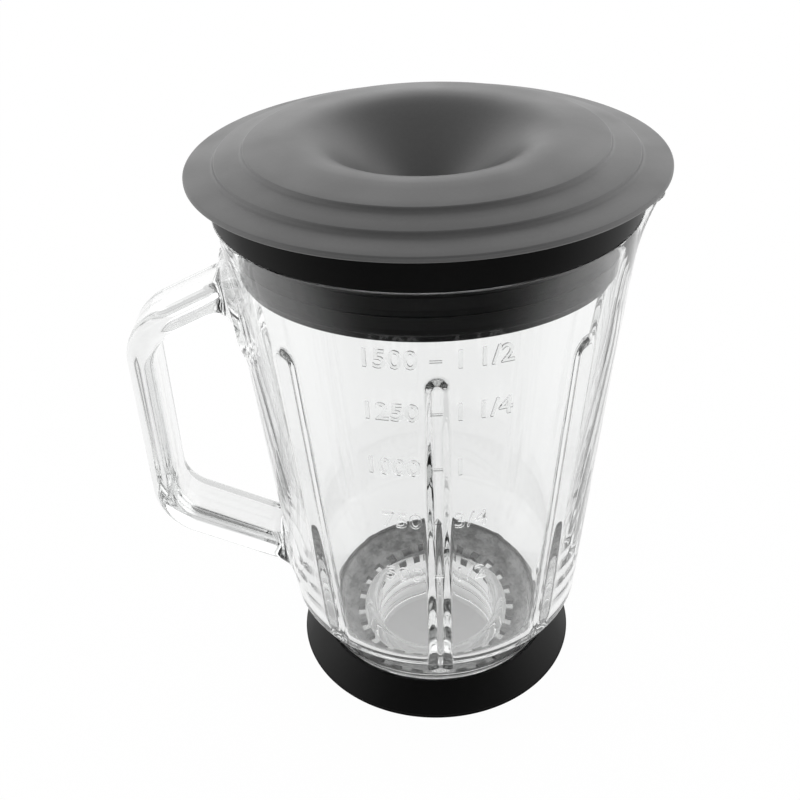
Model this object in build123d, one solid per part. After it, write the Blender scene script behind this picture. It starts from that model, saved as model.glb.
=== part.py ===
from build123d import *
import os

# Blender jar, sizes in mm. It stands on the end of its neck at z = 0, with its axis on Z,
# the handle towards -X and the pouring lip towards +X.

# Clearance between faces that only face each other, and how far a cut runs past the face it opens
FIT = 0.3
CUT_PAST = 1.0

# Glass body: both walls taper, and the wall is thicker low down
RIM_Z = 202.5
BODY_R0 = 51.1
BODY_TAPER = 0.0937
WALL0 = 7.06
WALL_TAPER = 0.0128
RIM_ROUND = 1.2

# Foot: the wall slopes in to a flat underside, and the floor has the same slope round it
FOOT_Z = 46.5
FOOT_IN = 13.75
FOOT_ROUND = 6.0
UNDER_Z = 22.0
UNDER_ROUND = 2.0
FLOOR_Z = 27.5
FLOOR_WALL = 5.8
FLOOR_ROUND = 8.0
BEND_ROUND = 14.0

# Open neck under the floor, a little wider at its root
NECK_R = 28.5
NECK_WALL = 4.0
NECK_ROOT = 0.8
NECK_ROOT_Z = 15.5
NECK_ROUND = 1.0
MOUTH_ROUND = 4.0

# Upright ribs on the inside of the wall, ending a little below the rim
RIB_COUNT = 8
RIB_R = 6.0
RIB_SINK = 4.0
RIB_LOW_Z = 38.5
RIB_DROP = 34.0

# Pouring lip: depth below the rim, swell outside and inside the plain wall, radius of its section
LIP_SECTIONS = (
    (50.0, -0.6, -0.9, 46.0),
    (32.0, 1.4, 0.2, 44.0),
    (14.0, 2.6, 2.0, 36.0),
    (0.0, 7.6, 7.2, 20.0),
)

# Handle: outer side, then inner side. The upper corners hang below the rim: at the wall, at the grip.
# The lower corners stand over the table: at the grip, at the wall.
GRIP_R = 104.2
GRIP_THICK = 9.4
HANDLE_DROPS = ((18.7, 39.7), (29.8, 47.0))
HANDLE_LOWS = ((79.5, 51.0), (88.8, 65.5))
HANDLE_BENDS = (22.0, 13.0)
HANDLE_SINK = 10.0
HANDLE_WIDE = 22.0
HANDLE_ROUND = 4.0
HANDLE_FLARE = 10.0

# Lid, heights over the rim. Each step is (distance in from the brim's edge, height).
SKIRT_IN = 1.6
SKIRT_WALL = 2.3
BRIM_REACH = 7.1
BRIM_UNDER = 12.0
BRIM_TOP = 13.8
STEPS = ((9.2, 15.2), (9.6, 16.6), (18.3, 18.2), (18.7, 19.5))
CROWN_IN = 39.6
CROWN_TOP = 21.8
CROWN_ROUND = 18.0
DIP_R = 6.0
DIP_LOW = -3.4
DIP_ROUND = 8.0
SKIN = 2.2

# Plug of the lid and the rubber seal it carries, heights over the rim
SEAL_ROOM = 2.7
PLUG_WALL = 2.0
PLUG_LOW = -18.0
SEAL_LOW = -16.0
SEAL_HIGH = -2.0
SEAL_BASE = 1.8
SEAL_KEEP = 1.4
SEAL_LIPS = 3
SEAL_LIP_TALL = 2.2

# Base collar: flared ring that the foot sits in, with a toothed plate round the neck
COLLAR_LOW_Z = 16.5
COLLAR_TOP_Z = 27.5
COLLAR_FLARE = 10.2
COLLAR_LIP = 1.2
COLLAR_WALL = 3.0
COLLAR_PLATE = 2.5
COLLAR_GAP = 1.0
TOOTH_COUNT = 24
TOOTH_GAP = 4.4
TOOTH_DEEP = 3.0


def outer_r(z):
    return BODY_R0 + BODY_TAPER * z


def inner_r(z):
    return outer_r(z) - WALL0 + WALL_TAPER * z


def foot_r(z):
    """Outside of the sloping foot."""
    return outer_r(FOOT_Z) - FOOT_IN * (FOOT_Z - z) / (FOOT_Z - UNDER_Z)


FLOOR_R = foot_r(FLOOR_Z) - FLOOR_WALL
SKIRT_R = outer_r(RIM_Z) - SKIRT_IN
BRIM_R = SKIRT_R + BRIM_REACH
PLUG_R = inner_r(RIM_Z + PLUG_LOW) - SEAL_ROOM


def turned(points, rounds=()):
    """Turn an (r, z) outline about the axis, with some of its corners rounded."""
    face = make_face(Polyline(*points, close=True))
    for corner, radius in rounds:
        face = fillet(face.vertices().sort_by_distance((*corner, 0))[0], radius)
    return revolve(Plane.XZ * face, Axis.Z)


def upright_rib(turn):
    """Round bar half sunk in the wall, bent inwards over the foot, with round ends."""
    slope = (inner_r(FOOT_Z) - FLOOR_R) / (FOOT_Z - FLOOR_Z)
    low_r = FLOOR_R + slope * (RIB_LOW_Z - FLOOR_Z)
    high_z = RIM_Z - RIB_DROP
    wall = ((low_r, RIB_LOW_Z), (inner_r(FOOT_Z), FOOT_Z), (inner_r(high_z), high_z))
    spots = [Vector(r + RIB_SINK, 0, z) for r, z in wall]
    rib = Pos(*spots[-1]) * Sphere(RIB_R)
    for low, high in zip(spots, spots[1:]):
        line = Line(low, high)
        rib += sweep(Plane(low, z_dir=line % 0) * Circle(RIB_R), path=line)
        rib += Pos(*low) * Sphere(RIB_R)
    return Rot(0, 0, turn) * rib


def lip(wall, column):
    """Rounded bulge on the +X side, measured from the plain wall it swells out of."""
    rounds = []
    for section in LIP_SECTIONS:
        z, radius = RIM_Z - section[0], section[3]
        centre = outer_r(z) + section[1] - radius
        rounds.append(Pos(centre, 0, z) * Circle(wall(z) + section[column] - centre))
    return loft(rounds)


def handle_side(side):
    """One side of the bar: from the wall to the grip, down the grip and back to the wall."""
    top_z = RIM_Z - HANDLE_DROPS[side][0]
    low_z = HANDLE_LOWS[side][1]
    grip_x = side * GRIP_THICK - GRIP_R
    corners = (
        (HANDLE_SINK - outer_r(top_z), top_z),
        (grip_x, RIM_Z - HANDLE_DROPS[side][1]),
        (grip_x, HANDLE_LOWS[side][0]),
        (HANDLE_SINK - outer_r(low_z), low_z),
    )
    return FilletPolyline(*corners, radius=HANDLE_BENDS[side])


def handle_bar():
    """Bar with rounded edges, its ends buried in the wall."""
    outer, inner = handle_side(0), handle_side(1)
    outline = outer + inner + Line(outer @ 0, inner @ 0) + Line(outer @ 1, inner @ 1)
    bar = extrude(Plane.XZ * make_face(outline), HANDLE_WIDE / 2, both=True)
    return fillet(bar.faces().filter_by(Axis.Y).edges(), HANDLE_ROUND)


def glass_jar():
    root_r = NECK_R + NECK_ROOT
    shell = turned(
        (
            (0, 0),
            (NECK_R, 0),
            (NECK_R, NECK_ROOT_Z),
            (root_r, NECK_ROOT_Z),
            (root_r, UNDER_Z),
            (foot_r(UNDER_Z), UNDER_Z),
            (outer_r(FOOT_Z), FOOT_Z),
            (outer_r(RIM_Z), RIM_Z),
            (0, RIM_Z),
        ),
        (
            ((NECK_R, 0), NECK_ROUND),
            ((foot_r(UNDER_Z), UNDER_Z), UNDER_ROUND),
            ((outer_r(FOOT_Z), FOOT_Z), FOOT_ROUND),
        ),
    )
    handle = handle_bar()
    body = shell + handle
    body = fillet(new_edges(shell, handle, combined=body), HANDLE_FLARE)
    body += lip(outer_r, 1)
    bore_r = NECK_R - NECK_WALL
    top_z = RIM_Z + CUT_PAST
    cavity = turned(
        (
            (0, -CUT_PAST),
            (bore_r, -CUT_PAST),
            (bore_r, FLOOR_Z),
            (FLOOR_R, FLOOR_Z),
            (inner_r(FOOT_Z), FOOT_Z),
            (inner_r(top_z), top_z),
            (0, top_z),
        ),
        (
            ((bore_r, FLOOR_Z), MOUTH_ROUND),
            ((FLOOR_R, FLOOR_Z), FLOOR_ROUND),
            ((inner_r(FOOT_Z), FOOT_Z), BEND_ROUND),
        ),
    )
    cavity += lip(inner_r, 2)
    for n in range(RIB_COUNT):
        cavity -= upright_rib(360 / RIB_COUNT * n)
    body -= cavity
    rim = body.edges().filter_by_position(Axis.Z, RIM_Z, RIM_Z)
    return fillet(rim, RIM_ROUND)


def lid():
    steps = [(BRIM_R - distance, z) for distance, z in STEPS]
    crown_r = BRIM_R - CROWN_IN
    edge_r, edge_z = steps[-1]
    under_top = CROWN_TOP - SKIN
    under_low = DIP_LOW - SKIN
    skin = turned(
        (
            (0, under_low),
            (DIP_R, under_low),
            (crown_r, under_top),
            (edge_r, edge_z - SKIN),
            (SKIRT_R, BRIM_UNDER),
            (BRIM_R, BRIM_UNDER),
            (BRIM_R, BRIM_TOP),
            *steps,
            (crown_r, CROWN_TOP),
            (DIP_R, DIP_LOW),
            (0, DIP_LOW),
        ),
        (
            ((DIP_R, under_low), DIP_ROUND + SKIN),
            ((crown_r, under_top), CROWN_ROUND - SKIN),
            ((crown_r, CROWN_TOP), CROWN_ROUND),
            ((DIP_R, DIP_LOW), DIP_ROUND),
        ),
    )
    skirt = turned(
        (
            (SKIRT_R - SKIRT_WALL, 0),
            (SKIRT_R, 0),
            (SKIRT_R, BRIM_TOP),
            (SKIRT_R - SKIRT_WALL, BRIM_TOP),
        )
    )
    plug_top = STEPS[1][1]
    plug = turned(
        (
            (PLUG_R - PLUG_WALL, PLUG_LOW),
            (PLUG_R + SEAL_KEEP, PLUG_LOW),
            (PLUG_R + SEAL_KEEP, SEAL_LOW),
            (PLUG_R, SEAL_LOW),
            (PLUG_R, SEAL_HIGH),
            (PLUG_R + SEAL_KEEP, SEAL_HIGH),
            (PLUG_R + SEAL_KEEP, plug_top),
            (PLUG_R - PLUG_WALL, plug_top),
        )
    )
    return Pos(0, 0, RIM_Z) * (skin + skirt + plug)


def lid_seal():
    pitch = (SEAL_HIGH - SEAL_LOW - SEAL_LIP_TALL) / (SEAL_LIPS - 1)
    ring_r = PLUG_R + SEAL_BASE
    outline = [(PLUG_R + FIT / 2, SEAL_HIGH), (PLUG_R + FIT / 2, SEAL_LOW)]
    for n in range(SEAL_LIPS):
        z = SEAL_LOW + n * pitch
        tip_r = inner_r(RIM_Z + z) - FIT
        outline += [(ring_r, z), (tip_r, z + SEAL_LIP_TALL / 2), (ring_r, z + SEAL_LIP_TALL)]
    return Pos(0, 0, RIM_Z) * turned(outline)


def base_collar():
    top_r = foot_r(COLLAR_TOP_Z) + FIT
    low_r = top_r + COLLAR_FLARE
    plate_z = UNDER_Z - COLLAR_PLATE
    lean = (low_r - top_r - COLLAR_LIP) / (COLLAR_TOP_Z - COLLAR_LOW_Z)
    hole_r = NECK_R + NECK_ROOT + COLLAR_GAP
    ring = turned(
        (
            (low_r - COLLAR_WALL, COLLAR_LOW_Z),
            (low_r, COLLAR_LOW_Z),
            (top_r + COLLAR_LIP, COLLAR_TOP_Z),
            (top_r, COLLAR_TOP_Z),
            (foot_r(UNDER_Z) + FIT, UNDER_Z),
            (hole_r, UNDER_Z),
            (hole_r, plate_z),
            (low_r - COLLAR_WALL - lean * (plate_z - COLLAR_LOW_Z), plate_z),
        )
    )
    gap = Box(2 * TOOTH_DEEP, TOOTH_GAP, 2 * COLLAR_PLATE + CUT_PAST)
    for n in range(TOOTH_COUNT):
        ring -= Rot(0, 0, 360 / TOOTH_COUNT * (n + 0.5)) * Pos(hole_r, 0, UNDER_Z) * gap
    return ring


os.makedirs("parts", exist_ok=True)
for build in (glass_jar, lid, lid_seal, base_collar):
    export_step(build(), f"parts/{build.__name__}.step")
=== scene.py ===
import bpy
import bmesh
import math
import numpy as np
from mathutils import Matrix, Vector


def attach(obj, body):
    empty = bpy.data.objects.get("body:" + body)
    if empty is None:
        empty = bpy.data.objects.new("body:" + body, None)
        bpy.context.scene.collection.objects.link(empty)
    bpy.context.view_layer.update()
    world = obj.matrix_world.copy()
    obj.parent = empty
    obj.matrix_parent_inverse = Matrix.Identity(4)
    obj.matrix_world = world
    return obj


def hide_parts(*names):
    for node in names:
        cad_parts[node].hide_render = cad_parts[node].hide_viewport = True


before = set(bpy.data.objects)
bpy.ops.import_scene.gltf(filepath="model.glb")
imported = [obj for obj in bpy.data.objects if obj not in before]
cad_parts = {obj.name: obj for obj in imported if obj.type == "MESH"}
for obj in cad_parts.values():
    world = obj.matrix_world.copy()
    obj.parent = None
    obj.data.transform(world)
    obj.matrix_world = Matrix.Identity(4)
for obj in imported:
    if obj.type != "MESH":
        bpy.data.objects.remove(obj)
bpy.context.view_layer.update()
scene = bpy.context.scene

# Sizes are in millimetres here and become metres when a mesh is made.
MM = 0.001
# Turn in radians between the mesh points of a rounded corner, on the glass and elsewhere
GLASS_ARC_STEP = 0.2
ARC_STEP = 0.22

# Glass body
RIM_Z = 202.5
RIM_ROUND = 1.2
FOOT_Z = 46.5
FOOT_R = 41.7
FOOT_ROUND = 2.0
SHOULDER_INNER_ROUND = 14.0
SHOULDER_OUTER_ROUND = 6.0
UNDER_Z = 22.0
FLOOR_Z = 27.5
FLOOR_R = 39.0
FLOOR_ROUND = 8.0
FLOOR_EDGE = 4.0
# Plain walls: radius at the table, and gain in radius for each millimetre of height
OUTER_R = 51.1
OUTER_TAPER = 0.0937
INNER_R = 44.04
INNER_TAPER = 0.1065
GLASS_SHARP = 60

# Neck and its screw thread
NECK_BORE_R = 24.5
NECK_BORE_EDGE = 0.6
NECK_R = 28.5
NECK_EDGE = 1.0
NECK_ROOT_R = 29.3
NECK_ROOT_Z = 15.5
NECK_ROOT_EDGE = 0.3
NECK_ROOT_FILLET = 0.5
THREAD_PITCH = 5.0
THREAD_TALL = 1.6
THREAD_HALF_WIDE = 1.2
THREAD_LOW_Z = 2.0
THREAD_FADE = 1.5

# Ribs on the inner wall
RIB_COUNT = 8
RIB_FRONT_TURN = 270
RIB_HALF_WIDE = 4.2
RIB_SLOPE = 0.69
RIB_TALL = 2.4
RIB_CREST_ROUND = 0.45
RIB_FOOT_ROUND = 0.2
RIB_LEAST = 0.01
RIB_LOW_Z = 38.5
RIB_HIGH_Z = 168.5

# Pouring lip: height, swell outside and inside the plain wall, radius of its section
LIP = np.array(
    (
        (RIM_Z - 50.0, -0.6, -0.9, 46.0),
        (RIM_Z - 32.0, 1.4, 0.2, 44.0),
        (RIM_Z - 14.0, 2.6, 2.0, 36.0),
        (RIM_Z, 7.6, 7.2, 20.0),
    )
)
LIP_OUTSIDE = 1
LIP_INSIDE = 2
LIP_RADIUS = 3
LIP_START_Z = 105.0
LIP_FADE = 0.12
LIP_NONE = -20.0
LIP_BLEND = 0.9

# Handle: corners (x, z) of its outer and inner line from the top end to the low end
HANDLE_OUTER = ((-58.3, 183.8), (-104.2, 162.8), (-104.2, 79.5), (-45.9, 51.0))
HANDLE_INNER = ((-57.3, 172.7), (-94.8, 155.5), (-94.8, 88.8), (-47.2, 65.5))
HANDLE_OUTER_BEND = 22.0
HANDLE_INNER_BEND = 13.0
HANDLE_WIDE = 22.0
HANDLE_ROUND = 4.0
HANDLE_ROUND_STEPS = 7
HANDLE_BEND_STEPS = 18
HANDLE_GRIP_STEPS = 9
HANDLE_LEG_STEPS = 2
# Shares of the two legs where the plain bar starts and ends
HANDLE_LEG_START = 0.55
HANDLE_LEG_END = 0.5
# Curves from the bar into the wall: reach beside it, reach over and under each end, least bar left plain
FLARE_SIDE = 5.0
FLARE_UPPER = (4.0, 11.0)
FLARE_LOWER = (4.0, 7.0)
FLARE_ROOM = 0.5
FLARE_STEPS = 10
# Two more rings that lie on the wall beyond a curve, and tries to find where the bar meets the wall
FLARE_SKIRT = (1.2, 3.0)
WALL_TRIES = 30
# Hole in the wall's mesh for an end of the handle: room above and below, room beside in radians, and
# the radius that turns an angle into a length there
HOLE_ROOM = 0.6
HOLE_TURN_ROOM = 0.012
HOLE_WALL_R = 60.0

# Volume scale: how far a mark stands out, and its sloping edge as a share of the letter size
BOLD = (0.11, 0.006)
FAINT = (0.03, 0.03)
TICK = ((-2.2, -0.95), (1.4, -0.95), (1.4, -0.35), (-2.2, -0.35))
TRIANGLE = ((-1.8, -1.1), (0.9, -1.1), (-0.45, 1.3))
# Height of a row, its relief, number on the left, mark in the middle, number on the right
MARKS = (
    (93.6, BOLD, "500", TICK, "1/2"),
    (118.6, BOLD, "750", TRIANGLE, "3/4"),
    (141.2, FAINT, "1000", TICK, "1"),
    (162.6, FAINT, "1250", TICK, "1 1/4"),
    (181.5, FAINT, "1500", TICK, "1 1/2"),
)
MARK_TALL = 6.2
MARK_DEEP = 0.6
MARK_FOOT = 0.02
MARK_LEFT = -5.3
MARK_RIGHT = 4.4
# A letter before it is bent: a digit's height as a share of its size, half its thickness, parts of a curve
DIGIT_SHARE = 0.7
DIGIT_HALF = 0.5
DIGIT_STEPS = 3
# Part of the wall round the scale, distance from it, and cosine of the lean that is made even
SCALE_Y = -40.0
SCALE_LOW_Z = 60.0
SCALE_HIGH_Z = 195.0
SCALE_NEAR = 0.2
SCALE_LEAN = 0.9

# Lid, with heights over the rim
SKIRT_R = 68.47
SKIRT_THICK = 2.3
SKIRT_EDGE = 0.3
SKIRT_FILLET = 0.5
BRIM_R = 75.57
BRIM_LOW = 12.0
BRIM_HIGH = 13.8
BRIM_EDGE = 0.7
BRIM_FILLET = 0.8
# The two steps of its top: distance in from the brim's edge, height of the foot, height of the edge
LID_STEPS = ((9.2, 15.2, 16.6), (18.3, 18.2, 19.5))
LID_STEP_LEAN = 0.4
LID_STEP_FILLET = 1.6
LID_STEP_EDGE = 0.7
CROWN_R = 36.0
CROWN_TOP = 21.8
CROWN_ROUND = 18.0
DIP_R = 6.0
DIP_LOW = -3.4
DIP_ROUND = 8.0
SKIN = 2.2
SKIN_ROUND = 1.0
PLUG_R = 61.0
PLUG_THICK = 2.0
PLUG_LOW = -18.0
PLUG_ROUND = 0.6
PLUG_EDGE = 0.5
GROOVE_DEEP = 1.4
LID_SPACING = 3.0
LID_COLUMNS = 256
TURNED_SHARP = 50

# Seal, in the groove of the plug
SEAL_LOW = -16.0
SEAL_HIGH = -2.0
SEAL_THICK = 1.8
SEAL_PLAY = 0.15
SEAL_LIPS = 3
SEAL_LIP_TALL = 2.2
SEAL_LIP_GAP = 0.3
SEAL_LIP_ROOT = 0.3
SEAL_LIP_TIP = 0.4
SEAL_COLUMNS = 192

# Collar
COLLAR_LOW_Z = 16.5
COLLAR_TOP_Z = 27.5
COLLAR_R = 55.3
COLLAR_EDGE = 0.6
COLLAR_FOOT_WIDE = 3.0
COLLAR_FOOT_EDGE = 0.4
COLLAR_TOP_WIDE = 1.2
COLLAR_TOP_EDGE = 0.4
COLLAR_WALL = 5.5
COLLAR_WALL_FILLET = 0.5
COLLAR_PLAY = 0.3
COLLAR_SEAT_EDGE = 0.2
COLLAR_HOLE_R = 30.3
COLLAR_SHARP = 40
PLATE_DROP = 0.15
PLATE_UNDER = 2.5
TOOTH_COUNT = 24
TOOTH_GAP = 4.4
TOOTH_DEEP = 3.0
TOOTH_COLUMNS = 4
TOOTH_GAP_COLUMNS = 5
# Turn of a tooth's flank, in degrees
TOOTH_FLANK = 0.01

# Looks: where the lid's painted shade on its skirt and the plate's pale specks and painted light fade, and
# the range that most of a noise lies in
TOP_SHADE_FADE = 0.5
TOP_SHADE_DIP_R = (PLUG_R - 6.0, PLUG_R - 4.0)
PLATE_SPECKS_AND_LIGHT_R = (FOOT_R + 2.0, FOOT_R + 3.2)
PLATE_SPECKS_AND_LIGHT_Z = (UNDER_Z - 0.6, UNDER_Z - 0.3)
NOISE_RANGE = (0.3, 0.7)

# Ground under the jar: size, tones with a painted shadow round the neck, and the glow it shows to the
# camera, to mirrors and through glass
GROUND_HALF = 4000.0
GROUND_WHITE = 0.93
GROUND_PAINTED_SHADOW = 0.75
GROUND_PAINTED_SHADOW_WIDE = 12.0
GROUND_GLOW = 0.98
GROUND_MIRRORED = 0.9
GROUND_SEEN = 0.3
# Room, by direction: light in front and behind, light overhead, and least light seen through the glass
FRONT_Y = -0.75
FRONT_LIGHT = 0.05
BACK_Y = 0.1
BACK_LIGHT = 1.4
HIGH_START = 0.45
HIGH_END = 0.92
HIGH_LIGHT = 0.15
FRONT_SEEN = 0.7
# Sheet on the floor that paints a dark reflection of the room's front: its corners, height and tones, and
# where its dark fades to the sides and to the jar
SHADE_SHEET = (-1200.0, -900.0, 1200.0, -100.0)
SHADE_SHEET_Z = 1.0
SHADE_SHEET_DARK = 0.02
SHADE_SHEET_PALE = 0.85
SHADE_SHEET_SIDE = (250.0, 900.0)
SHADE_SHEET_CLOSE = (-260.0, -100.0)
# Bounces of a ray after which the sheet's painted dark reflection fades
SHADE_SHEET_DEPTH = (3.5, 4.5)

# Camera: place in millimetres, angles in degrees
CAMERA_AT = (-8.52, -312.63, 329.36)
CAMERA_YAW = -0.510
CAMERA_PITCH = 33.271
CAMERA_ROLL = -2.345
CAMERA_LENS = 46.494


def outer_r(z):
    return OUTER_R + OUTER_TAPER * z


def inner_r(z):
    return INNER_R + INNER_TAPER * z


def soft_max(a, k):
    """Zero where a is well below zero, a where it is well above, rounded between."""
    return 0.5 * (a + np.sqrt(a * a + k * k))


# Mesh helpers


def add_piece(name, verts, faces, nodes, sharp):
    """One piece of the part from points in millimetres, shaded sharp over the given angle in degrees."""
    mesh = bpy.data.meshes.new(name)
    mesh.from_pydata([tuple(v) for v in np.asarray(verts) * MM], [], faces)
    shape = bmesh.new()
    shape.from_mesh(mesh)
    loose = [v for v in shape.verts if not v.link_faces]
    bmesh.ops.delete(shape, geom=loose, context="VERTS")
    bmesh.ops.recalc_face_normals(shape, faces=shape.faces)
    shape.to_mesh(mesh)
    shape.free()
    mesh.shade_smooth()
    mesh.set_sharp_from_angle(angle=math.radians(sharp))
    piece = bpy.data.objects.new(name, mesh)
    scene.collection.objects.link(piece)
    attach(piece, "root")
    for node in nodes:
        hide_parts(node)
    return piece


def arc(before, here, after, radius, step=None, count=None):
    """Points of the arc that rounds a corner, in a count of parts or in parts of about one step of turn."""
    here = np.array(here)
    back = np.array(before) - here
    ahead = np.array(after) - here
    back = back / np.linalg.norm(back)
    ahead = ahead / np.linalg.norm(ahead)
    half = math.acos(np.clip(back @ ahead, -1, 1)) / 2
    middle = (back + ahead) / np.linalg.norm(back + ahead)
    centre = here + middle * radius / math.sin(half)
    start = here + back * radius / math.tan(half) - centre
    turn = math.pi - 2 * half
    way = math.copysign(1, start[0] * ahead[1] - start[1] * ahead[0])
    parts = count or max(2, math.ceil(turn / step))
    points = []
    for k in range(parts + 1):
        a = way * turn * k / parts
        c, s = math.cos(a), math.sin(a)
        points.append(centre + (c * start[0] - s * start[1], s * start[0] + c * start[1]))
    return points


def rounded(corners, closed, step=ARC_STEP):
    """Outline through corners (r, z, radius), each one an arc. A point also holds its corner's number."""
    out = []
    count = len(corners)
    for n in range(count):
        here = corners[n][:2]
        radius = corners[n][2]
        if radius == 0 or (not closed and n in (0, count - 1)):
            out.append((here[0], here[1], n))
            continue
        points = arc(corners[n - 1][:2], here, corners[(n + 1) % count][:2], radius, step=step)
        out += [(p[0], p[1], n) for p in points]
    return out


def fill_runs(points, closed, spacing):
    """Adds points on the straight runs at each corner's spacing. They hold its number and a half."""
    out = []
    count = len(points)
    for n in range(count if closed else count - 1):
        a, b = points[n], points[(n + 1) % count]
        out.append(a)
        if a[2] != b[2]:
            long = math.hypot(b[0] - a[0], b[1] - a[1])
            parts = max(1, round(long / spacing[a[2]]))
            for k in range(1, parts):
                f = k / parts
                out.append((a[0] + f * (b[0] - a[0]), a[1] + f * (b[1] - a[1]), a[2] + 0.5))
    if not closed:
        out.append(points[-1])
    return out


def grid_faces(rows, cols, closed_rows):
    """Faces of a grid whose columns go round, and whose rows may too."""
    faces = []
    for j in range(rows if closed_rows else rows - 1):
        for i in range(cols):
            a, b = j * cols, ((j + 1) % rows) * cols
            faces.append((a + i, a + (i + 1) % cols, b + (i + 1) % cols, b + i))
    return faces


def turned(name, outline, nodes, cols):
    """Closed (r, z) outline turned about the axis. Points on the axis become one vertex."""
    angle = np.linspace(0, 2 * math.pi, cols, endpoint=False)
    verts, rings = [], []
    for r, z in outline:
        if r < 1e-6:
            rings.append([len(verts)] * cols)
            verts.append((0, 0, z))
        else:
            rings.append(range(len(verts), len(verts) + cols))
            verts += [(r * math.cos(a), r * math.sin(a), z) for a in angle]
    faces = []
    for j in range(len(rings)):
        a, b = rings[j], rings[(j + 1) % len(rings)]
        for i in range(cols):
            k = (i + 1) % cols
            corners = []
            for v in (a[i], a[k], b[k], b[i]):
                if v not in corners:
                    corners.append(v)
            if len(corners) > 2:
                faces.append(tuple(corners))
    return add_piece(name, verts, faces, nodes, TURNED_SHARP)


# Glass jar

# Numbers of some corners in the outline of the glass
AT_BOWL = 2
AT_RIM_INNER = 4
AT_RIM_OUTER = 5
AT_SHOULDER_OUTER = 6
AT_THREAD = 10


def lip_curve(column, z):
    """One column of the lip's table at any height, by a cubic through its rows."""
    return np.polyval(np.polyfit(LIP[:, 0], LIP[:, column], 3), z)


def lip_swell(angle, z, column, wall):
    """How far the pouring lip swells out of the plain wall."""
    low = LIP[0, 0]
    over = np.maximum(z, low)
    fading = LIP_FADE * np.minimum(z - low, 0)
    out = lip_curve(LIP_OUTSIDE, over) + fading
    gap = lip_curve(column, over) + fading
    centre = outer_r(z) + out - lip_curve(LIP_RADIUS, over)
    reach = wall(z) + gap - centre
    side = reach**2 - (centre * np.sin(angle)) ** 2
    there = (side > 0) & (np.cos(angle) > 0)
    r = centre * np.cos(angle) + np.sqrt(np.maximum(side, 0))
    height = np.where(there, r - wall(z), LIP_NONE)
    return soft_max(height, LIP_BLEND)


def rib_height(across, past):
    """Rise of a rib over its middle line and past the line's ends: straight flanks and a flat crest."""
    flank = RIB_SLOPE * (RIB_HALF_WIDE - np.hypot(across, past))
    crested = RIB_TALL - soft_max(RIB_TALL - flank, RIB_CREST_ROUND)
    return soft_max(crested, RIB_FOOT_ROUND)


def rib_columns():
    """Angles of the mesh's columns: close together on the ribs, and on the side with the numbers."""
    # Degrees from the middle of a rib
    near = (0, 0.7, 1.1, 1.4, 1.7, 2.1, 2.7, 3.3, 3.7, 4.1, 4.5, 5.0, 5.5, 6.2, 7.4)
    far = (9.5, 12.5, 16.0, 19.5, 22.5)
    far_close = (8.4, 9.5, 11.0, 12.5, 14.2, 16.0, 17.8, 19.5, 21.0, 22.5)
    apart = 360 / RIB_COUNT
    front = round(RIB_FRONT_TURN / apart)
    turns = []
    for n in range(RIB_COUNT):
        below = near + (far_close if n in (front, front + 1) else far)
        above = near + (far_close if n in (front - 1, front) else far)
        turns += [apart * n - a for a in reversed(below[1:-1])]
        turns += [apart * n + a for a in above]
    return np.radians(turns)


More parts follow.
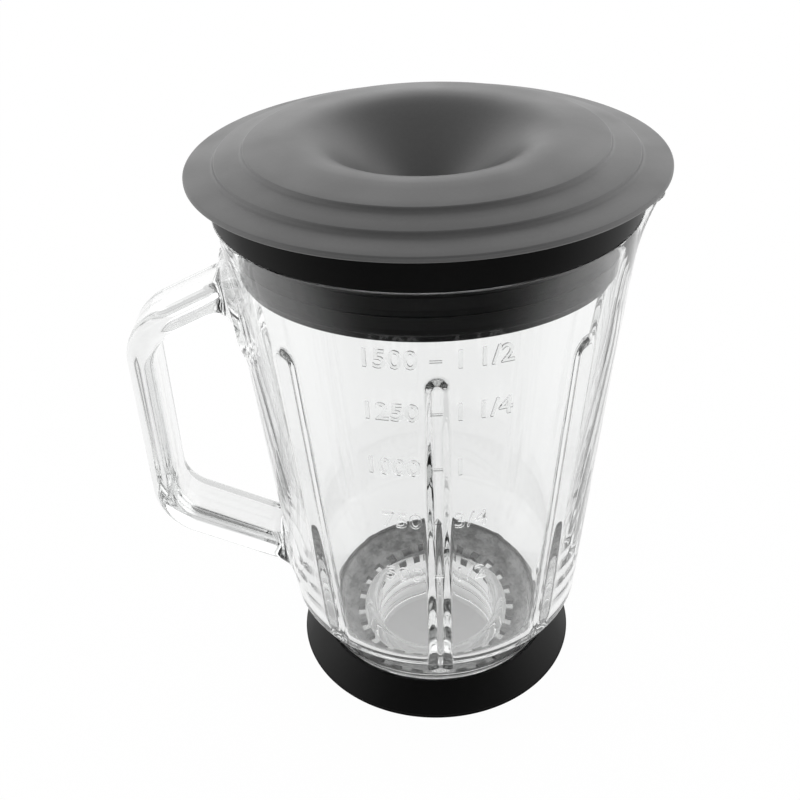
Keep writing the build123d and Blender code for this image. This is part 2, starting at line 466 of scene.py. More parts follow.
def glass_shell():
    """Grid of points over the whole glass without its handle, and the corner number of each row."""
    # Radius, height, rounding, and spacing of the mesh's rows up to the next corner
    corners = (
        (NECK_BORE_R, 0, NECK_BORE_EDGE, 4.0),
        (NECK_BORE_R, FLOOR_Z, FLOOR_EDGE, 2.0),
        (FLOOR_R, FLOOR_Z, FLOOR_ROUND, 1.6),
        (inner_r(FOOT_Z), FOOT_Z, SHOULDER_INNER_ROUND, 1.65),
        (inner_r(RIM_Z), RIM_Z, RIM_ROUND, 2.0),
        (outer_r(RIM_Z), RIM_Z, RIM_ROUND, 3.4),
        (outer_r(FOOT_Z), FOOT_Z, SHOULDER_OUTER_ROUND, 2.4),
        (FOOT_R, UNDER_Z, FOOT_ROUND, 4.0),
        (NECK_ROOT_R, UNDER_Z, NECK_ROOT_FILLET, 3.0),
        (NECK_ROOT_R, NECK_ROOT_Z, NECK_ROOT_EDGE, 2.0),
        (NECK_R, NECK_ROOT_Z, NECK_ROOT_EDGE, 0.7),
        (NECK_R, 0, NECK_EDGE, 2.0),
    )
    path = fill_runs(rounded(corners, True, GLASS_ARC_STEP), True, [c[3] for c in corners])
    r, z, run = np.array(path).T
    angle = rib_columns()[None, :]
    plain = r[:, None]
    height = z[:, None]

    # Pouring lip: both walls and the rim between them
    share = np.clip((plain - inner_r(height)) / (outer_r(height) - inner_r(height)), 0, 1)
    inside = lip_swell(angle, height, LIP_INSIDE, inner_r)
    outside = lip_swell(angle, height, LIP_OUTSIDE, outer_r)
    swell = (1 - share) * inside + share * outside
    radius = plain + np.where(height > LIP_START_Z, swell, 0)

    # Screw thread on the outside of the neck
    phase = height / THREAD_PITCH - angle / (2 * math.pi)
    off = (phase - np.round(phase)) * THREAD_PITCH
    fade = np.clip((height - THREAD_LOW_Z) / THREAD_FADE, 0, 1)
    fade = fade * np.clip((NECK_ROOT_Z - height) / THREAD_FADE, 0, 1)
    thread = THREAD_TALL * np.exp(-((off / THREAD_HALF_WIDE) ** 2)) * fade
    radius = radius + np.where(run[:, None] == AT_THREAD + 0.5, thread, 0)

    # Upright ribs on the inner wall, over the foot and up to a little below the rim
    dr, dz = np.gradient(r), np.gradient(z)
    size = np.hypot(dr, dz)
    inner = (run >= AT_BOWL) & (run < AT_RIM_INNER)
    along = np.cumsum(np.hypot(np.diff(r, prepend=r[0]), np.diff(z, prepend=z[0])))
    start, end = np.interp((RIB_LOW_Z, RIB_HIGH_Z), z[inner], along[inner])
    past = np.maximum(np.maximum(start - along, along - end), 0)[:, None]
    apart = 2 * math.pi / RIB_COUNT
    across = radius * np.sin(angle - np.round(angle / apart) * apart)
    rise = np.where(inner[:, None], rib_height(across, past), 0)
    rise = np.where(rise < RIB_LEAST, 0, rise)
    radius = radius - rise * (dz / size)[:, None]
    height = height + rise * (dr / size)[:, None]
    return np.stack([radius * np.cos(angle), radius * np.sin(angle), height], -1), run


def between(first, second, shares):
    """Points at the given shares of the way from one point to another."""
    return [first + (second - first) * f for f in shares]


def bent_line(corners, bend):
    """One side of the handle: leg, bend, grip, bend, leg, with the same count of points for every side."""
    top, upper, lower, low = (np.array(c) for c in corners)
    first = arc(top, upper, lower, bend, count=HANDLE_BEND_STEPS)
    second = arc(upper, lower, low, bend, count=HANDLE_BEND_STEPS)
    leg = between(top, first[0], np.linspace(HANDLE_LEG_START, 1, HANDLE_LEG_STEPS, endpoint=False))
    grip = between(first[-1], second[0], np.linspace(0, 1, HANDLE_GRIP_STEPS + 2)[1:-1])
    tail = between(second[-1], low, np.linspace(0, HANDLE_LEG_END, HANDLE_LEG_STEPS + 1)[1:])
    return np.array(leg + first + grip + second + tail)


def handle_ring(low, high):
    """Rounded section between the inner and the outer line, as points."""
    across = high - low
    thick = np.linalg.norm(across)
    across = across / thick
    wide = HANDLE_WIDE / 2
    # Middle of each rounded corner, the angle it starts at, and the parts of the flat after it
    corners = (
        (thick - HANDLE_ROUND, wide - HANDLE_ROUND, 0, 2),
        (HANDLE_ROUND, wide - HANDLE_ROUND, 90, 8),
        (HANDLE_ROUND, HANDLE_ROUND - wide, 180, 2),
        (thick - HANDLE_ROUND, HANDLE_ROUND - wide, 270, 8),
    )
    ring, flats = [], []
    for u, y, start, parts in corners:
        for k in range(HANDLE_ROUND_STEPS + 1):
            a = math.radians(start + 90 * k / HANDLE_ROUND_STEPS)
            ring.append((u + HANDLE_ROUND * math.cos(a), y + HANDLE_ROUND * math.sin(a)))
        flats += [1] * HANDLE_ROUND_STEPS + [parts]
    ring = np.array(ring)
    points = []
    for n, parts in enumerate(flats):
        points += between(ring[n], ring[(n + 1) % len(ring)], [k / parts for k in range(parts)])
    u, y = np.array(points).T
    return np.stack([low[0] + u * across[0], y, low[1] + u * across[1]], -1)


def on_wall(points):
    """Moves points straight in or out to the plain outer wall."""
    r = np.hypot(points[:, 0], points[:, 1])
    f = outer_r(points[:, 2]) / r
    return np.stack([points[:, 0] * f, points[:, 1] * f, points[:, 2]], -1)


def wall_normal(points):
    """Normals of the plain outer wall at points on it."""
    r = np.hypot(points[:, 0], points[:, 1])
    n = np.stack([points[:, 0] / r, points[:, 1] / r, np.full(len(r), -OUTER_TAPER)], -1)
    return n / np.linalg.norm(n, axis=1)[:, None]


def flare(ring, before, over, under):
    """Rings that carry one end of the bar into the wall, with curves of their own over and under it."""
    away = (ring - before).mean(0)
    way = away / np.linalg.norm(away)
    go = np.zeros(len(ring))
    for _ in range(WALL_TRIES):
        x, y, z = (ring + go[:, None] * way).T
        r = np.hypot(x, y)
        gain = (x * way[0] + y * way[1]) / r - OUTER_TAPER * way[2]
        go = go - (r - outer_r(z)) / gain
    foot = ring + go[:, None] * way
    out = ring - ring.mean(0)
    out = out - (out @ way)[:, None] * way
    tilt = out[:, 2] / np.abs(out[:, 2]).max()
    reach = FLARE_SIDE + np.where(tilt > 0, (over - FLARE_SIDE) * tilt, (FLARE_SIDE - under) * tilt)
    normal = wall_normal(foot)
    aside = out - np.sum(out * normal, 1)[:, None] * normal
    aside = aside / np.linalg.norm(aside, axis=1)[:, None]
    start = foot - way * np.minimum(reach, go - FLARE_ROOM)[:, None]
    end = on_wall(foot + aside * reach[:, None])
    rings = []
    for t in np.linspace(0, 1, FLARE_STEPS):
        rings.append(start * (1 - t) ** 2 + foot * 2 * t * (1 - t) + end * t * t)
    for more in FLARE_SKIRT:
        rings.append(on_wall(foot + aside * (reach + more)[:, None]))
    return rings


def handle_rings():
    """Sections of the whole handle, from the wall at its top end to the wall at its low end."""
    outer = bent_line(HANDLE_OUTER, HANDLE_OUTER_BEND)
    inner = bent_line(HANDLE_INNER, HANDLE_INNER_BEND)
    rings = [handle_ring(a, b) for a, b in zip(inner, outer)]
    upper = flare(rings[0], rings[1], *FLARE_UPPER)
    lower = flare(rings[-1], rings[-2], *FLARE_LOWER)
    return list(reversed(upper)) + rings + lower


def hole_for(ring, grid, run):
    """Cells of the outer wall that make room for one end of the handle, and the points round them."""
    rows, cols = grid.shape[:2]
    row_z = grid[:, 0, 2]
    wall = [j for j in range(rows) if AT_RIM_OUTER <= run[j] <= AT_SHOULDER_OUTER]
    top = max(j for j in wall if row_z[j] > ring[:, 2].max() + HOLE_ROOM)
    low = min(j for j in wall if row_z[j] < ring[:, 2].min() - HOLE_ROOM)
    ring_turn = np.mod(np.arctan2(ring[:, 1], ring[:, 0]), 2 * math.pi)
    half = np.abs(ring_turn - math.pi).max() + HOLE_TURN_ROOM
    turns = np.mod(rib_columns(), 2 * math.pi)
    inside = [i for i in range(cols) if abs(turns[i] - math.pi) <= half]
    left, right = inside[0] - 1, inside[-1] + 1
    cells = {(j, i) for j in range(top, low) for i in range(left, right)}
    edge = [(j, i) for j in (top, low) for i in range(left, right + 1)]
    edge += [(j, i) for j in range(top + 1, low) for i in (left, right)]
    return cells, edge


def sorted_round(loop, mid_z):
    """Pairs (vertex, point) as pairs (vertex, angle), sorted by angle about an end of the handle."""
    pairs = []
    for vertex, (x, y, z) in loop:
        turn = np.mod(math.atan2(y, x), 2 * math.pi) - math.pi
        pairs.append((vertex, math.atan2(z - mid_z, HOLE_WALL_R * turn)))
    return sorted(pairs, key=lambda pair: pair[1])


def zip_loops(first, second):
    """Triangles between two loops of (vertex, angle) sorted by angle."""
    faces = []
    a = b = 0
    na, nb = len(first), len(second)
    while a < na or b < nb:
        next_a = first[(a + 1) % na][1] + 2 * math.pi * ((a + 1) // na)
        next_b = second[(b + 1) % nb][1] + 2 * math.pi * ((b + 1) // nb)
        if b >= nb or (a < na and next_a <= next_b):
            faces.append((first[a % na][0], first[(a + 1) % na][0], second[b % nb][0]))
            a += 1
        else:
            faces.append((first[a % na][0], second[(b + 1) % nb][0], second[b % nb][0]))
            b += 1
    return faces


def glass_jar():
    """The shell with two holes, the handle, and the seams between them, as one closed mesh."""
    grid, run = glass_shell()
    rows, cols = grid.shape[:2]
    rings = handle_rings()
    count = len(rings[0])
    base = rows * cols
    gone = set()
    seams = []
    for ring, first in ((rings[0], base), (rings[-1], base + (len(rings) - 1) * count)):
        cells, edge = hole_for(ring, grid, run)
        gone |= cells
        mid_z = (ring[:, 2].min() + ring[:, 2].max()) / 2
        wall_loop = sorted_round([(j * cols + i, grid[j, i]) for j, i in edge], mid_z)
        bar_loop = sorted_round([(first + k, p) for k, p in enumerate(ring)], mid_z)
        seams += zip_loops(wall_loop, bar_loop)
    shell = [f for n, f in enumerate(grid_faces(rows, cols, True)) if divmod(n, cols) not in gone]
    bar = [tuple(base + v for v in f) for f in grid_faces(len(rings), count, False)]
    verts = np.vstack([grid.reshape(-1, 3)] + rings)
    return add_piece("glass_body", verts, shell + bar + seams, ["glass_jar"], GLASS_SHARP)


def wrapped(points, faces, out, edge):
    """Flat shape (across, up, level) bent round the front of the wall, from inside it to a raised face."""
    across, up, level = np.array(points).T
    foot = np.where(level > 0, -MARK_FOOT, -MARK_DEEP)
    r = outer_r(up) + np.where(level > DIGIT_HALF + edge / 2, out, foot)
    turn = across / outer_r(up) - math.pi / 2
    verts = np.stack([r * np.cos(turn), r * np.sin(turn), up], -1) * MM
    mesh = bpy.data.meshes.new("mark")
    mesh.from_pydata([tuple(v) for v in verts], [], faces)
    return mesh


def number(words, across, z, side, out, edge):
    """A number as a thick shape with sloping edges, on the front of the wall."""
    curve = bpy.data.curves.new("number", "FONT")
    curve.body = words
    curve.align_x = side
    curve.extrude = DIGIT_HALF
    curve.bevel_depth = edge
    curve.bevel_resolution = 0
    curve.offset = -edge / 2
    curve.resolution_u = DIGIT_STEPS
    drawn = bpy.data.objects.new("number", curve)
    scene.collection.objects.link(drawn)
    graph = bpy.context.evaluated_depsgraph_get()
    mesh = bpy.data.meshes.new_from_object(drawn.evaluated_get(graph))
    bpy.data.objects.remove(drawn)
    shape = bmesh.new()
    shape.from_mesh(mesh)
    bmesh.ops.remove_doubles(shape, verts=shape.verts, dist=1e-5)
    shape.verts.index_update()
    size = MARK_TALL / DIGIT_SHARE
    points = [(across + size * v.co.x, z + size * v.co.y - MARK_TALL / 2, v.co.z) for v in shape.verts]
    faces = [[v.index for v in f.verts] for f in shape.faces]
    shape.free()
    return wrapped(points, faces, out, edge)


def block(outline, z, out):
    """A plain flat outline as a thick shape with upright edges, on the front of the wall."""
    count = len(outline)
    points = [(x, z + y, level) for level in (-1, 1) for x, y in outline]
    faces = [tuple(reversed(range(count))), tuple(range(count, 2 * count))]
    faces += [(n, (n + 1) % count, count + (n + 1) % count, count + n) for n in range(count)]
    return wrapped(points, faces, out, 0.0)


def even_wall(mesh):
    """Gives the front wall the normals of its plain cone, so that only the edges of the marks show."""
    count = len(mesh.loops)
    normals = np.empty(3 * count, np.float32)
    mesh.corner_normals.foreach_get("vector", normals)
    normals = normals.reshape(-1, 3)
    owner = np.empty(count, np.int32)
    mesh.loops.foreach_get("vertex_index", owner)
    spots = np.empty(3 * len(mesh.vertices), np.float32)
    mesh.vertices.foreach_get("co", spots)
    p = spots.reshape(-1, 3)[owner] / MM
    plain = wall_normal(p)
    near = np.abs(np.hypot(p[:, 0], p[:, 1]) - outer_r(p[:, 2])) < SCALE_NEAR
    front = near & (p[:, 1] < SCALE_Y) & (p[:, 2] > SCALE_LOW_Z) & (p[:, 2] < SCALE_HIGH_Z)
    same = front & (np.sum(normals * plain, 1) > SCALE_LEAN)
    normals[same] = plain[same]
    mesh.normals_split_custom_set(normals.tolist())


def raise_marks(jar):
    """Moulds the volume scale onto the front of the jar."""
    joined = bmesh.new()
    for z, (out, edge), left, middle, right in MARKS:
        joined.from_mesh(number(left, MARK_LEFT, z, "RIGHT", out, edge))
        joined.from_mesh(number(right, MARK_RIGHT, z, "LEFT", out, edge))
        joined.from_mesh(block(middle, z, out))
    bmesh.ops.recalc_face_normals(joined, faces=joined.faces)
    marks_mesh = bpy.data.meshes.new("marks")
    joined.to_mesh(marks_mesh)
    joined.free()
    marks = bpy.data.objects.new("marks", marks_mesh)
    scene.collection.objects.link(marks)
    union = jar.modifiers.new("marks", "BOOLEAN")
    union.operation = "UNION"
    union.solver = "MANIFOLD"
    union.object = marks
    graph = bpy.context.evaluated_depsgraph_get()
    merged = bpy.data.meshes.new_from_object(jar.evaluated_get(graph))
    jar.modifiers.clear()
    jar.data = merged
    merged.materials.clear()
    merged.shade_smooth()
    merged.set_sharp_from_angle(angle=math.radians(GLASS_SHARP))
    bpy.data.objects.remove(marks)
    even_wall(merged)


# Lid, seal and collar


def lid():
    """Brim, two steps and the dipped crown, with the skirt and the plug under them."""
    (first_in, first_low, first_high), (second_in, second_low, second_high) = LID_STEPS
    step_r = BRIM_R - first_in
    edge_r = BRIM_R - second_in - LID_STEP_LEAN
    wall_r = PLUG_R - PLUG_THICK
    keep_r = PLUG_R + GROOVE_DEEP
    skirt_in = SKIRT_R - SKIRT_THICK
    edge_under = second_high - SKIN

    def under(r):
        return edge_under + (r - edge_r) / (SKIRT_R - edge_r) * (BRIM_LOW - edge_under)

    # Radius, height and rounding, from the middle of the underside round to the middle of the dip
    corners = (
        (0, DIP_LOW - SKIN, 0),
        (DIP_R, DIP_LOW - SKIN, DIP_ROUND + SKIN),
        (CROWN_R, CROWN_TOP - SKIN, CROWN_ROUND - SKIN),
        (edge_r, under(edge_r), SKIN_ROUND),
        (wall_r, under(wall_r), PLUG_ROUND),
        (wall_r, PLUG_LOW, PLUG_ROUND),
        (keep_r, PLUG_LOW, PLUG_EDGE),
        (keep_r, SEAL_LOW, 0),
        (PLUG_R, SEAL_LOW, 0),
        (PLUG_R, SEAL_HIGH, 0),
        (keep_r, SEAL_HIGH, 0),
        (keep_r, under(keep_r), PLUG_ROUND),
        (skirt_in, under(skirt_in), SKIRT_FILLET),
        (skirt_in, 0, SKIRT_EDGE),
        (SKIRT_R, 0, SKIRT_EDGE),
        (SKIRT_R, BRIM_LOW, BRIM_FILLET),
        (BRIM_R, BRIM_LOW, BRIM_EDGE),
        (BRIM_R, BRIM_HIGH, BRIM_EDGE),
        (step_r, first_low, LID_STEP_FILLET),
        (step_r - LID_STEP_LEAN, first_high, LID_STEP_EDGE),
        (BRIM_R - second_in, second_low, LID_STEP_FILLET),
        (edge_r, second_high, LID_STEP_EDGE),
        (CROWN_R, CROWN_TOP, CROWN_ROUND),
        (DIP_R, DIP_LOW, DIP_ROUND),
        (0, DIP_LOW, 0),
    )
    path = fill_runs(rounded(corners, False), False, [LID_SPACING] * len(corners))
    outline = [(p[0], p[1] + RIM_Z) for p in path]
    return turned("lid_shell", outline, ["lid"], LID_COLUMNS)


def lid_seal():
    """Ring in the plug's groove, with lips that reach out to the glass."""
    low_z = RIM_Z + SEAL_LOW
    back_r = PLUG_R + SEAL_PLAY
    ring_r = PLUG_R + SEAL_THICK
    pitch = (SEAL_HIGH - SEAL_LOW - SEAL_LIP_TALL) / (SEAL_LIPS - 1)
    corners = [(back_r, RIM_Z + SEAL_HIGH, 0), (back_r, low_z, 0)]
    for n in range(SEAL_LIPS):
        z = low_z + n * pitch
        corners.append((ring_r, z, SEAL_LIP_ROOT))
        corners.append((inner_r(z) - SEAL_LIP_GAP, z + SEAL_LIP_TALL / 2, SEAL_LIP_TIP))
        corners.append((ring_r, z + SEAL_LIP_TALL, SEAL_LIP_ROOT))
    outline = [(p[0], p[1]) for p in rounded(corners, True)]
    return turned("seal_ring", outline, ["lid_seal"], SEAL_COLUMNS)


def base_collar():
    """Flared ring, turned in columns that step in and out at the teeth round its hole."""
    lean = (outer_r(FOOT_Z) - FOOT_R) / (FOOT_Z - UNDER_Z)
    top_r = FOOT_R + lean * (COLLAR_TOP_Z - UNDER_Z) + COLLAR_PLAY
    plate_z = UNDER_Z - PLATE_DROP
    plate_low_z = UNDER_Z - PLATE_UNDER
    corners = (
        (COLLAR_R - COLLAR_FOOT_WIDE, COLLAR_LOW_Z, COLLAR_FOOT_EDGE),
        (COLLAR_R, COLLAR_LOW_Z, COLLAR_EDGE),
        (top_r + COLLAR_TOP_WIDE, COLLAR_TOP_Z, COLLAR_TOP_EDGE),
        (top_r, COLLAR_TOP_Z, COLLAR_SEAT_EDGE),
        (FOOT_R + COLLAR_PLAY, plate_z, COLLAR_SEAT_EDGE),
        (COLLAR_HOLE_R, plate_z, 0),
        (COLLAR_HOLE_R, plate_low_z, 0),
        (COLLAR_R - COLLAR_WALL, plate_low_z, COLLAR_WALL_FILLET),
    )
    hole_corners = (5, 6)
    outline = np.array([(p[0], p[1], p[2] in hole_corners) for p in rounded(corners, True)])
    half = math.degrees(TOOTH_GAP / 2 / (COLLAR_HOLE_R + TOOTH_DEEP / 2))
    step = 360 / TOOTH_COUNT
    columns = []
    for n in range(TOOTH_COUNT):
        middle = step * (n + 0.5)
        before = np.linspace(-step / 2, -half, TOOTH_COLUMNS)
        gap = np.linspace(-half + TOOTH_FLANK, half - TOOTH_FLANK, TOOTH_GAP_COLUMNS)
        after = np.linspace(half, step / 2, TOOTH_COLUMNS)[:-1]
        columns += [(middle + off, 0) for off in before]
        columns += [(middle + off, TOOTH_DEEP) for off in gap]
        columns += [(middle + off, 0) for off in after]
    turn = np.radians([c[0] for c in columns])
    deep = np.array([c[1] for c in columns])
    r = outline[:, :1] + outline[:, 2:] * deep
    z = np.broadcast_to(outline[:, 1:2], r.shape)
    verts = np.stack([r * np.cos(turn), r * np.sin(turn), z], -1).reshape(-1, 3)
    faces = grid_faces(len(outline), len(columns), True)
    return add_piece("collar_ring", verts, faces, ["base_collar"], COLLAR_SHARP)


# Node helpers


def grey(level):
    return (level, level, level, 1)


def noise(nodes, links, scale, detail, rough=0.5):
    """Noise that stays with the object."""
    place = nodes.new("ShaderNodeTexCoord")
    tex = nodes.new("ShaderNodeTexNoise")
    tex.inputs["Scale"].default_value = scale
    tex.inputs["Detail"].default_value = detail
    tex.inputs["Roughness"].default_value = rough
    links.new(place.outputs["Object"], tex.inputs["Vector"])
    return tex.outputs["Fac"]


def ramp_of(nodes, links, value, start, end, low, high):
    """Soft ramp from one level to another while the value goes from start to end."""
    ramp = nodes.new("ShaderNodeMapRange")
    ramp.interpolation_type = "SMOOTHSTEP"
    ramp.inputs["From Min"].default_value = start
    ramp.inputs["From Max"].default_value = end
    ramp.inputs["To Min"].default_value = low
    ramp.inputs["To Max"].default_value = high
    links.new(value, ramp.inputs["Value"])
    return ramp.outputs["Result"]


def ramp_over(nodes, links, place, ends, low, high):
    """Soft ramp over a place, whose two ends are in millimetres."""
    return ramp_of(nodes, links, place, ends[0] * MM, ends[1] * MM, low, high)


def spread(nodes, links, fac, low, high):
    """Values of a noise stretched over the given range."""
    return ramp_of(nodes, links, fac, *NOISE_RANGE, low, high)


def pick(nodes, links, kind, first, second):
    """The larger, the smaller or the product of two values, as the operation's name says."""
    total = nodes.new("ShaderNodeMath")
    total.operation = kind
    links.new(first, total.inputs[0])
    links.new(second, total.inputs[1])
    return total.outputs[0]


def blend(nodes, links, amount, first, second):
    """Colour between two colours."""
    mix = nodes.new("ShaderNodeMix")
    mix.data_type = "RGBA"
    links.new(amount, mix.inputs[0])
    links.new(first, mix.inputs[6])
    links.new(second, mix.inputs[7])
    return mix.outputs[2]


def grain(nodes, links, dark, pale):
    """Fine mottle between two greys."""
    ramp = nodes.new("ShaderNodeValToRGB")
    ramp.color_ramp.elements[0].color = grey(dark)
    ramp.color_ramp.elements[1].color = grey(pale)
    links.new(noise(nodes, links, scale=900, detail=4), ramp.inputs["Fac"])
    return ramp.outputs["Color"]


def split_place(nodes, links, kind):
    """Outputs X, Y and Z of a kind of texture coordinate."""
    place = nodes.new("ShaderNodeTexCoord")
    split = nodes.new("ShaderNodeSeparateXYZ")
    links.new(place.outputs[kind], split.inputs["Vector"])
    return split.outputs


def height_mask(nodes, links, ends):
    """Zero below the lower height and one above the higher."""
    return ramp_over(nodes, links, split_place(nodes, links, "Object")["Z"], ends, 0.0, 1.0)


def radius_mask(nodes, links, ends):
    """One within the smaller distance from the axis and zero beyond the larger."""
    place = nodes.new("ShaderNodeTexCoord")
    flat = nodes.new("ShaderNodeVectorMath")
    flat.operation = "MULTIPLY"
    flat.inputs[1].default_value = (1, 1, 0)
    links.new(place.outputs["Object"], flat.inputs[0])
    far = nodes.new("ShaderNodeVectorMath")
    far.operation = "LENGTH"
    links.new(flat.outputs["Vector"], far.inputs[0])
    return ramp_over(nodes, links, far.outputs["Value"], ends, 1.0, 0.0)


def weigh(nodes, links, amounts):
    """Sum of outputs of a Light Path node, each times its amount, kept from zero to one at each step."""
    path = nodes.new("ShaderNodeLightPath")
    total = None
    for name, amount in amounts:
        part = nodes.new("ShaderNodeMath")
        part.operation = "MULTIPLY_ADD"
        part.use_clamp = True
        links.new(path.outputs[name], part.inputs[0])
        part.inputs[1].default_value = amount
        part.inputs[2].default_value = 0.0
        if total is not None:
            links.new(total, part.inputs[2])
        total = part.outputs[0]
    return total


# Materials


def new_material(name):
    mat = bpy.data.materials.new(name)
    mat.use_nodes = True
    return mat, mat.node_tree.nodes, mat.node_tree.links


def bare_material(name):
    """Material with nothing but its output."""
    mat, nodes, links = new_material(name)
    nodes.clear()
    return mat, nodes, links, nodes.new("ShaderNodeOutputMaterial")


def add_bump(nodes, links, shader, fac, strength, distance):
    bump = nodes.new("ShaderNodeBump")
    bump.inputs["Strength"].default_value = strength
    bump.inputs["Distance"].default_value = distance
    links.new(fac, bump.inputs["Height"])
    links.new(bump.outputs["Normal"], shader.inputs["Normal"])


def glass_material():
    """Clear glass that is a little grey where it is thick."""
    mat, nodes, links = new_material("clear_glass")
    shader = nodes["Principled BSDF"]
    shader.inputs["Base Color"].default_value = (0.982, 0.986, 0.984, 1)
    shader.inputs["Transmission Weight"].default_value = 1.0
    shader.inputs["IOR"].default_value = 1.5
    tint = nodes.new("ShaderNodeVolumeAbsorption")
    tint.inputs["Color"].default_value = (0.5, 0.52, 0.51, 1)
    tint.inputs["Density"].default_value = 3.0
    links.new(tint.outputs[0], nodes["Material Output"].inputs["Volume"])
    smears = noise(nodes, links, scale=90, detail=3)
    links.new(spread(nodes, links, smears, low=0.0, high=0.006), shader.inputs["Roughness"])
    waves = noise(nodes, links, scale=55, detail=1)
    add_bump(nodes, links, shader, waves, strength=0.015, distance=0.0004)
    return mat


def black_material(name, color, rough, shine):
    """Black moulding. The colour is made by the given function of the node tree."""
    mat, nodes, links = new_material(name)
    shader = nodes["Principled BSDF"]
    links.new(color(nodes, links), shader.inputs["Base Color"])
    wear = noise(nodes, links, scale=35, detail=4)
    links.new(spread(nodes, links, wear, *rough), shader.inputs["Roughness"])
    shader.inputs["Specular IOR Level"].default_value = shine
    texture = noise(nodes, links, scale=2600, detail=2)
    add_bump(nodes, links, shader, texture, strength=0.2, distance=0.00004)
    return mat


def black_grain(nodes, links):
    return grain(nodes, links, dark=0.002, pale=0.004)


def lid_top(nodes, links):
    """One on the matt top and in its dip, zero on the skirt and the plug, whose colour gets a painted
    shade.
    """
    brim_z = RIM_Z + BRIM_LOW
    top = height_mask(nodes, links, (brim_z - TOP_SHADE_FADE, brim_z + TOP_SHADE_FADE))
    dip = radius_mask(nodes, links, TOP_SHADE_DIP_R)
    return pick(nodes, links, "MAXIMUM", top, dip)


def lid_color(nodes, links):
    """Grey on the matt top, and black below it on the skirt and plug, which is partly painted shade under
    the brim.
    """
    matt_top_grey = grain(nodes, links, dark=0.056, pale=0.07)
    # Painted shade: the skirt and plug are coloured darker than the top, as if in shadow under the brim
    return blend(nodes, links, lid_top(nodes, links), black_grain(nodes, links), matt_top_grey)


def lid_material():
    """Black moulding whose top shines more than its skirt."""
    skirt_shine = 0.1
    top_shine = 0.8
    mat = black_material("lid_plastic", lid_color, rough=(0.36, 0.44), shine=top_shine)
    nodes, links = mat.node_tree.nodes, mat.node_tree.links
    shine = ramp_of(nodes, links, lid_top(nodes, links), 0.0, 1.0, skirt_shine, top_shine)
    links.new(shine, nodes["Principled BSDF"].inputs["Specular IOR Level"])
    return mat


def collar_color(nodes, links):
    """Black flare, and pale specks on the plate under the glass floor, partly painted light that stands in
    for light and reflection through the glass.
    """
    plate = radius_mask(nodes, links, PLATE_SPECKS_AND_LIGHT_R)
    upper = height_mask(nodes, links, PLATE_SPECKS_AND_LIGHT_Z)
    shown = pick(nodes, links, "MINIMUM", plate, upper)
    specks = noise(nodes, links, scale=140, detail=5, rough=0.7)
    # Painted light with specks: the plate is made paler where it is seen through the glass floor
    specks_and_light = spread(nodes, links, specks, low=0.2, high=0.95)
    return blend(nodes, links, shown, black_grain(nodes, links), specks_and_light)


def collar_material():
    return black_material("collar_plastic", collar_color, rough=(0.36, 0.46), shine=0.2)


def rubber_color(nodes, links):
    return grain(nodes, links, dark=0.006, pale=0.012)


def rubber_material():
    return black_material("seal_rubber", rubber_color, rough=(0.5, 0.6), shine=0.15)


# Staging


def flat_sheet(name, x0, y0, x1, y1, z):
    """Level sheet that belongs to the staging."""
    corners = ((x0, y0, z), (x1, y0, z), (x1, y1, z), (x0, y1, z))
    mesh = bpy.data.meshes.new(name)
    mesh.from_pydata([tuple(v * MM for v in c) for c in corners], [], [(0, 1, 2, 3)])
    sheet = bpy.data.objects.new(name, mesh)
    scene.collection.objects.link(sheet)
    return sheet


def white_floor():
    """White floor with a painted shadow round the neck, that shows less glow through the glass."""
    floor = flat_sheet("floor", -GROUND_HALF, -GROUND_HALF, GROUND_HALF, GROUND_HALF, 0)
    mat, nodes, links, out = bare_material("floor_white")
    matte = nodes.new("ShaderNodeBsdfDiffuse")
    # Painted shadow: the floor's colour is darker within a ring round the neck
    tone = nodes.new("ShaderNodeMix")
    tone.data_type = "RGBA"
    tone.inputs[6].default_value = grey(GROUND_WHITE)
    tone.inputs[7].default_value = grey(GROUND_PAINTED_SHADOW)
    links.new(radius_mask(nodes, links, (NECK_R, NECK_R + GROUND_PAINTED_SHADOW_WIDE)), tone.inputs[0])
    links.new(tone.outputs[2], matte.inputs["Color"])
    glow = nodes.new("ShaderNodeEmission")
    mix = nodes.new("ShaderNodeMixShader")
    # A ray bent by glass counts as glossy too, so its share is the sum of the last two
    amounts = (
        ("Is Camera Ray", GROUND_GLOW),
        ("Is Glossy Ray", GROUND_MIRRORED),
        ("Is Transmission Ray", GROUND_SEEN - GROUND_MIRRORED),
    )
    links.new(weigh(nodes, links, amounts), mix.inputs["Fac"])
    links.new(matte.outputs[0], mix.inputs[1])
    links.new(glow.outputs[0], mix.inputs[2])
    links.new(mix.outputs[0], out.inputs["Surface"])
    floor.data.materials.append(mat)


def studio():
    """White room that is darker in front and overhead, with less of that dark seen through the glass."""
    world = bpy.data.worlds.new("studio")
    scene.world = world
    world.use_nodes = True
    nodes, links = world.node_tree.nodes, world.node_tree.links
    back = nodes["Background"]
    back.inputs["Color"].default_value = grey(1)
    way = split_place(nodes, links, "Generated")
    behind = ramp_of(nodes, links, way["Y"], FRONT_Y, BACK_Y, FRONT_LIGHT, BACK_LIGHT)
    below = ramp_of(nodes, links, way["Z"], HIGH_START, HIGH_END, 1.0, HIGH_LIGHT)
    room = pick(nodes, links, "MULTIPLY", behind, below)
    amounts = (("Is Camera Ray", 1.0), ("Is Diffuse Ray", 1.0), ("Is Transmission Ray", FRONT_SEEN))
    plain = weigh(nodes, links, amounts)
    links.new(pick(nodes, links, "MAXIMUM", room, plain), back.inputs["Strength"])
    world.cycles.sampling_method = "NONE"


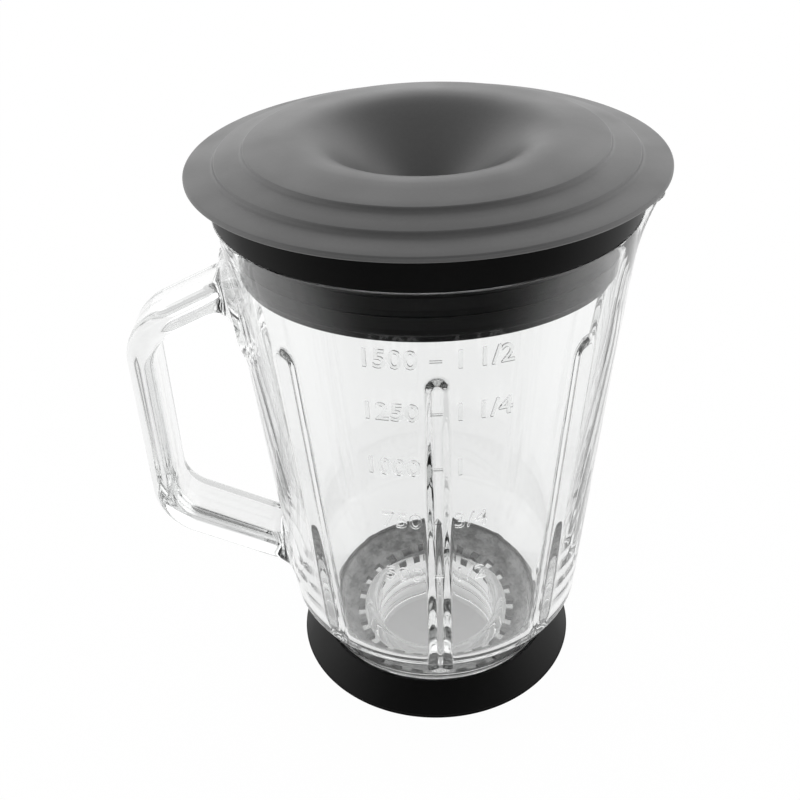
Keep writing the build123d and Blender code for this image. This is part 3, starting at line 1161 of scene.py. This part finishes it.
def painted_dark_reflection():
    """Sheet on the floor in front of the jar that paints a dark reflection in the first few bounces, and is
    white through the glass.
    """
    shade_sheet = flat_sheet("shade_sheet", *SHADE_SHEET, SHADE_SHEET_Z)
    shade_sheet.visible_camera = False
    shade_sheet.visible_diffuse = False
    shade_sheet.visible_shadow = False
    mat, nodes, links, out = bare_material("painted_dark_reflection_material")
    glow = nodes.new("ShaderNodeEmission")
    links.new(glow.outputs[0], out.inputs["Surface"])
    place = split_place(nodes, links, "Object")
    side = nodes.new("ShaderNodeMath")
    side.operation = "ABSOLUTE"
    links.new(place["X"], side.inputs[0])
    wide = ramp_over(nodes, links, side.outputs[0], SHADE_SHEET_SIDE, SHADE_SHEET_DARK, SHADE_SHEET_PALE)
    close = ramp_over(nodes, links, place["Y"], SHADE_SHEET_CLOSE, SHADE_SHEET_DARK, SHADE_SHEET_PALE)
    pale = pick(nodes, links, "MAXIMUM", wide, close)
    mirrored = weigh(nodes, links, (("Glossy Depth", 1.0),))
    through = ramp_of(nodes, links, mirrored, 0.0, 1.0, 1.0, 0.0)
    path = nodes.new("ShaderNodeLightPath")
    deep = ramp_of(nodes, links, path.outputs["Ray Depth"], *SHADE_SHEET_DEPTH, 0.0, SHADE_SHEET_PALE)
    beyond = pick(nodes, links, "MAXIMUM", through, deep)
    # Painted reflection: the sheet glows dark only for the first few glossy bounces, and is unseen
    # otherwise
    links.new(pick(nodes, links, "MAXIMUM", pale, beyond), glow.inputs["Strength"])
    shade_sheet.data.materials.append(mat)


def camera():
    """Camera in front of the jar, above it and a little rolled."""
    data = bpy.data.cameras.new("camera")
    data.sensor_width = 36.0
    data.lens = CAMERA_LENS
    data.clip_start = 0.01
    yaw = math.radians(CAMERA_YAW)
    pitch = math.radians(CAMERA_PITCH)
    roll = math.radians(CAMERA_ROLL)
    ahead = Vector((math.sin(yaw) * math.cos(pitch), math.cos(yaw) * math.cos(pitch), -math.sin(pitch)))
    right = ahead.cross(Vector((0, 0, 1))).normalized()
    up = right.cross(ahead)
    side = right * math.cos(roll) + up * math.sin(roll)
    top = up * math.cos(roll) - right * math.sin(roll)
    turn = Matrix((side, top, -ahead)).transposed()
    eye = bpy.data.objects.new("camera", data)
    eye.matrix_world = Matrix.Translation(Vector(CAMERA_AT) * MM) @ turn.to_4x4()
    scene.collection.objects.link(eye)
    scene.camera = eye


glass = glass_jar()
raise_marks(glass)
glass.data.materials.append(glass_material())
lid().data.materials.append(lid_material())
base_collar().data.materials.append(collar_material())
lid_seal().data.materials.append(rubber_material())
white_floor()
studio()
painted_dark_reflection()
camera()
scene.cycles.max_bounces = 24
scene.cycles.glossy_bounces = 16
scene.cycles.transmission_bounces = 24
scene.view_settings.view_transform = "Standard"
